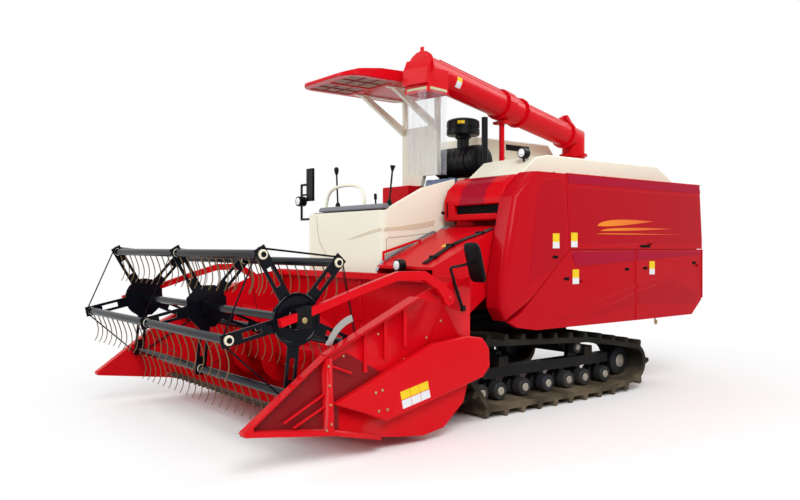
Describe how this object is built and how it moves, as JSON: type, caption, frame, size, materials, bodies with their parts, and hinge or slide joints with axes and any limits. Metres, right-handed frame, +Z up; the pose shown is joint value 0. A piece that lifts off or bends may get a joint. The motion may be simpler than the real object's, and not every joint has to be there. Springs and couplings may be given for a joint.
{
  "type": "tracked full-feed combine harvester",
  "caption": "Red tracked combine harvester with a low grain header, turning reel, open operator's platform under a small canopy, grain tank and swinging unloading tube.",
  "frame": {"origin": "on the ground, midway between the two tracks, below the middle of their ground contact", "axes": "+X forward, +Y to the machine's left, +Z up"},
  "size_m": [4.9396, 2.572, 2.8385],
  "materials": {
    "red_paint": "gloss",
    "cream_paint": "gloss",
    "black_paint": "satin",
    "dark_casting": "matt",
    "bare_steel": "satin",
    "rubber": "matt",
    "grey_plastic": "satin",
    "black_plastic": "satin",
    "seat_vinyl": "matt",
    "clear_vinyl": "clear",
    "engine_mix": "matt"
  },
  "bodies": {
    "root": {"chassis": "dark_casting", "gearbox": "dark_casting", "track_frame_left": "black_paint", "track_frame_right": "black_paint", "track_wheels_left": "dark_casting", "track_wheels_right": "dark_casting", "track_left": "rubber", "track_right": "rubber", "thresher_housing": "red_paint", "side_pulleys": "dark_casting", "front_corner_panel": "red_paint", "front_hood": "red_paint", "top_cover": "cream_paint", "straw_hood": "red_paint", "engine_bay": "red_paint", "engine": "engine_mix", "grain_tank": "cream_paint", "fuel_tank": "black_plastic", "operator_platform": "black_paint", "cab_fairing": "cream_paint", "console": "grey_plastic", "seat_cushion": "seat_vinyl", "seat_back": "seat_vinyl", "canopy": "red_paint", "canopy_posts": "cream_paint", "air_filter": "black_plastic", "exhaust_pipe": "black_paint", "boom_rest": "red_paint", "unloader_column": "red_paint", "control_levers": "black_plastic", "cab_mirror": "black_plastic", "work_lamp": "black_plastic"},
    "header": {"feeder_house": "red_paint", "header_trough": "red_paint", "knife_bar": "bare_steel", "header_side_left": "red_paint", "header_side_right": "red_paint", "chain_cover": "red_paint", "header_mirror": "black_plastic", "header_lamp": "black_plastic"},
    "auger": {"header_auger": "black_paint"},
    "reel_arms": {"reel_arm_left": "red_paint", "reel_arm_right": "red_paint"},
    "reel": {"reel_frame": "black_paint", "reel_stubs": "bare_steel"},
    "bat_1": {"reel_bat_1": "black_paint"},
    "bat_2": {"reel_bat_2": "black_paint"},
    "bat_3": {"reel_bat_3": "black_paint"},
    "bat_4": {"reel_bat_4": "black_paint"},
    "bat_5": {"reel_bat_5": "black_paint"},
    "lift_barrel": {"lift_barrel": "black_paint"},
    "lift_rod": {"lift_rod": "bare_steel"},
    "unloader_elbow": {"unloader_elbow": "red_paint"},
    "unloader_boom": {"unloader_boom": "red_paint", "outlet_hood": "red_paint", "outlet_curtain": "clear_vinyl"},
    "upper_side_door": {"upper_side_door": "red_paint"},
    "lower_front_door": {"lower_front_door": "red_paint"},
    "lower_rear_door": {"lower_rear_door": "red_paint"},
    "engine_screen_door": {"engine_screen_door": "red_paint"}
  },
  "joints": [
    {"name": "header_lift", "type": "hinge", "parent": "root", "child": "header", "pos_m": [0.42, 0.395, 1.2], "axis": [0, -1, 0], "range_deg": [-2, 25]},
    {"name": "auger_spin", "type": "hinge", "parent": "header", "child": "auger", "pos_m": [1.598, -0.155, 0.453], "axis": [0, 1, 0], "continuous": true},
    {"name": "reel_lift", "type": "hinge", "parent": "header", "child": "reel_arms", "pos_m": [1.38, -0.155, 0.905], "axis": [0, -1, 0], "range_deg": [0, 20]},
    {"name": "reel_spin", "type": "hinge", "parent": "reel_arms", "child": "reel", "pos_m": [2.45, -0.155, 0.83], "axis": [0, -1, 0], "continuous": true},
    {"name": "barrel_swing", "type": "hinge", "parent": "root", "child": "lift_barrel", "pos_m": [0.265, 0.45, 0.715], "axis": [0, -1, 0], "range_deg": [-1.63, 18.05]},
    {"name": "rod_slide", "type": "slide", "parent": "lift_barrel", "child": "lift_rod", "axis": [0.998, 0, -0.0626], "range_m": [-0.01726, 0.2042]},
    {"name": "unloader_slew", "type": "hinge", "parent": "root", "child": "unloader_elbow", "pos_m": [-1.66, -0.34, 2.17], "axis": [0, 0, 1], "range_deg": [0, 120]},
    {"name": "boom_raise", "type": "hinge", "parent": "unloader_elbow", "child": "unloader_boom", "pos_m": [-1.49646, -0.31389, 2.54352], "axis": [0.1577, -0.9875, 0], "range_deg": [0, 30]},
    {"name": "upper_door_hinge", "type": "hinge", "parent": "root", "child": "upper_side_door", "pos_m": [-1, 0.9, 1.8], "axis": [1, 0, 0], "range_deg": [0, 85]},
    {"name": "front_door_hinge", "type": "hinge", "parent": "root", "child": "lower_front_door", "pos_m": [-0.948, 0.9, 0.9], "axis": [0, 0, 1], "range_deg": [0, 90]},
    {"name": "rear_door_hinge", "type": "hinge", "parent": "root", "child": "lower_rear_door", "pos_m": [-1.988, 0.9, 0.9], "axis": [0, 0, 1], "range_deg": [0, 100]},
    {"name": "screen_door_hinge", "type": "hinge", "parent": "root", "child": "engine_screen_door", "pos_m": [-0.6, -1.065, 1.04], "axis": [0, 0, -1], "range_deg": [0, 95]},
    {"name": "bat_1_turn", "type": "hinge", "parent": "reel", "child": "bat_1", "pos_m": [2.66, -0.155, 1.19373], "axis": [0, -1, 0], "continuous": true},
    {"name": "bat_2_turn", "type": "hinge", "parent": "reel", "child": "bat_2", "pos_m": [2.16897, -0.155, 1.14212], "axis": [0, -1, 0], "continuous": true},
    {"name": "bat_3_turn", "type": "hinge", "parent": "reel", "child": "bat_3", "pos_m": [2.06631, -0.155, 0.65917], "axis": [0, -1, 0], "continuous": true},
    {"name": "bat_4_turn", "type": "hinge", "parent": "reel", "child": "bat_4", "pos_m": [2.4939, -0.155, 0.4123], "axis": [0, -1, 0], "continuous": true},
    {"name": "bat_5_turn", "type": "hinge", "parent": "reel", "child": "bat_5", "pos_m": [2.86082, -0.155, 0.74268], "axis": [0, -1, 0], "continuous": true}
  ],
  "couplings": [
    {"joint": "bat_1_turn", "follows": "reel_spin", "ratio": -1},
    {"joint": "bat_2_turn", "follows": "reel_spin", "ratio": -1},
    {"joint": "bat_3_turn", "follows": "reel_spin", "ratio": -1},
    {"joint": "bat_4_turn", "follows": "reel_spin", "ratio": -1},
    {"joint": "bat_5_turn", "follows": "reel_spin", "ratio": -1},
    {"joint": "barrel_swing", "follows": "header_lift", "ratio": 0.7142},
    {"joint": "rod_slide", "follows": "header_lift", "m_per_rad": 0.4657}
  ]
}
